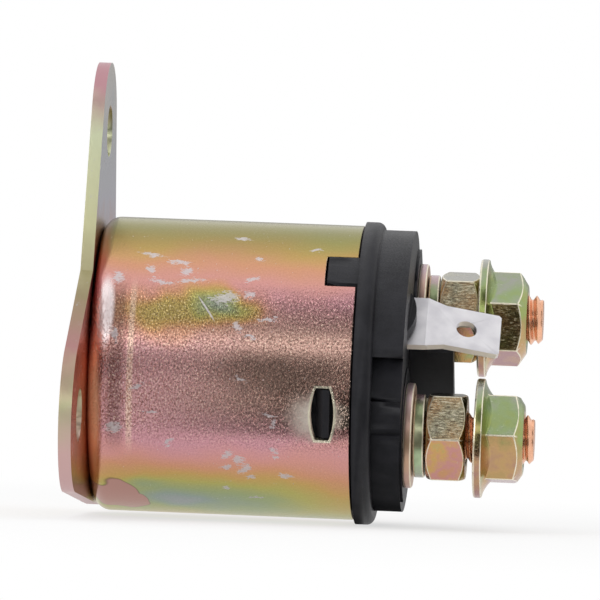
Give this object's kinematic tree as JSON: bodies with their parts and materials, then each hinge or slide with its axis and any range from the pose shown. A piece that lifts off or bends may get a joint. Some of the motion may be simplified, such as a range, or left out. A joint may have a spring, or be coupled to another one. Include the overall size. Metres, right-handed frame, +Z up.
{
  "type": "starter solenoid relay",
  "caption": "Starter solenoid relay: a round steel can on an eared mounting plate, closed by a black terminal cap with threaded contact studs, nuts and a blade terminal.",
  "frame": {"origin": "on the can's axis, at the back face of the mounting plate", "axes": "+X along the can's axis toward the terminals, +Z up along the long ear, -Y toward the side ear"},
  "size_m": [0.0541, 0.0512, 0.0541],
  "materials": {
    "bracket_chromate": "iridescent yellow chromate over zinc",
    "can_chromate": "iridescent yellow chromate over zinc",
    "washer_chromate": "iridescent yellow chromate over zinc",
    "nut_chromate": "iridescent yellow chromate over zinc",
    "flange_nut_chromate": "iridescent yellow chromate over zinc",
    "lock_washer_steel": "bright, pale green chromate",
    "stud_copper": "bare copper",
    "copper_wire": "enamelled copper wire",
    "tube_brass": "drawn brass",
    "blade_tin": "tinned brass, satin",
    "cap_plastic": "black moulded plastic, matte",
    "bobbin_plastic": "natural moulded nylon",
    "bush_plastic": "moulded phenolic",
    "coil_tape": "polyester tape",
    "gasket_rubber": "matte",
    "soft_iron": "plain turned soft iron",
    "rod_steel": "turned steel",
    "spring_steel": "drawn spring wire"
  },
  "bodies": {
    "housing": {"mounting_bracket": "bracket_chromate", "can_housing": "can_chromate", "coil_bobbin": "bobbin_plastic", "coil_winding": "copper_wire", "coil_tape": "coil_tape", "guide_tube": "tube_brass", "fixed_core": "soft_iron", "flux_plate": "soft_iron", "sealing_gasket": "gasket_rubber", "terminal_cap": "cap_plastic", "contact_studs": "stud_copper", "flat_washers": "washer_chromate", "spring_washers": "lock_washer_steel", "hex_nuts": "nut_chromate", "flange_nuts": "flange_nut_chromate", "blade_terminal": "blade_tin", "coil_lead": "copper_wire", "earth_lead": "copper_wire", "return_spring": "spring_steel"},
    "plunger": {"plunger": "soft_iron", "push_rod": "rod_steel", "rod_clip": "rod_steel", "contact_spring": "spring_steel"},
    "contact_bridge": {"contact_disc": "stud_copper", "rear_bush": "bush_plastic", "front_bush": "bush_plastic"}
  },
  "joints": [
    {"name": "plunger_slide", "type": "slide", "parent": "housing", "child": "plunger", "axis": [1, 0, 0], "range_m": [0, 0.0022], "stiffness_N_per_m": 600, "springref_m": -0.004, "deforming": ["return_spring"]},
    {"name": "bridge_slide", "type": "slide", "parent": "plunger", "child": "contact_bridge", "axis": [1, 0, 0], "range_m": [-0.0008, 0], "stiffness_N_per_m": 1500, "springref_m": 0.002, "deforming": ["contact_spring"]}
  ]
}
